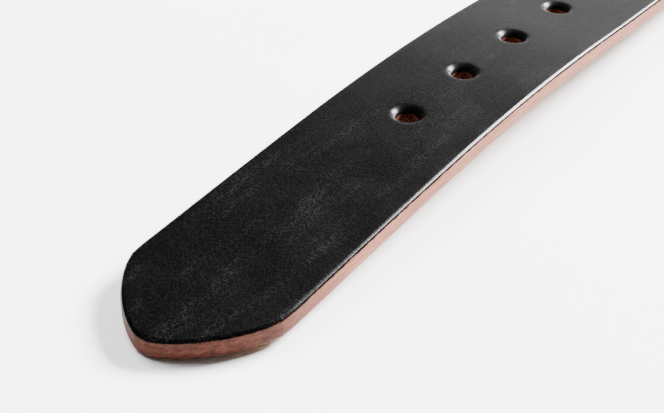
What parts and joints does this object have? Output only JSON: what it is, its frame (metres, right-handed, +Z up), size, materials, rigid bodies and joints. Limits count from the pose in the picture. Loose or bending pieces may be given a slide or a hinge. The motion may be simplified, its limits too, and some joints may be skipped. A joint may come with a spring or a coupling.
{
  "type": "leather belt",
  "caption": "Black single-ply leather dress belt with pointed tip, round holes, prong buckle, keeper loop and screw-closed fold, laid open in a wide bend.",
  "frame": {"origin": "middle of the belt's base, on the table it lies on", "axes": "+X from the belt's two ends towards the wide bend, along both straight legs; +Y from the buckle leg towards the tip leg; +Z up, off the table"},
  "size_m": [0.519, 0.1882, 0.0387],
  "materials": {
    "black_leather": "black-dyed vegetable-tanned grain with low sheen; cut edges burnished natural russet; plain flesh side",
    "keeper_leather": "black-dyed grain with low sheen and russet burnished edges",
    "nickel_plate": "polished nickel plate",
    "plain_steel": "drawn steel pin",
    "waxed_thread": "waxed black linen thread"
  },
  "bodies": {
    "belt": {"strap": "black_leather", "screw_post_1": "nickel_plate", "screw_post_2": "nickel_plate", "screw_post_3": "nickel_plate", "screw_post_4": "nickel_plate", "screw_1": "nickel_plate", "screw_2": "nickel_plate", "screw_3": "nickel_plate", "screw_4": "nickel_plate"},
    "buckle": {"buckle_frame": "nickel_plate", "buckle_bar": "plain_steel"},
    "prong": {"prong": "nickel_plate"},
    "keeper": {"keeper_loop": "keeper_leather", "keeper_stitch_1": "waxed_thread", "keeper_stitch_2": "waxed_thread", "keeper_stitch_3": "waxed_thread"}
  },
  "joints": [
    {"name": "buckle_swing", "type": "hinge", "parent": "belt", "child": "buckle", "pos_m": [-0.14242, -0.06788, 0.00592], "axis": [0, 1, 0], "range_deg": [0, 110]},
    {"name": "prong_swing", "type": "hinge", "parent": "buckle", "child": "prong", "pos_m": [-0.14242, -0.06788, 0.00592], "axis": [0, 1, 0], "range_deg": [0, 130]},
    {"name": "keeper_slide", "type": "slide", "parent": "belt", "child": "keeper", "axis": [1, 0, 0], "range_m": [-0.006, 0.006]}
  ]
}
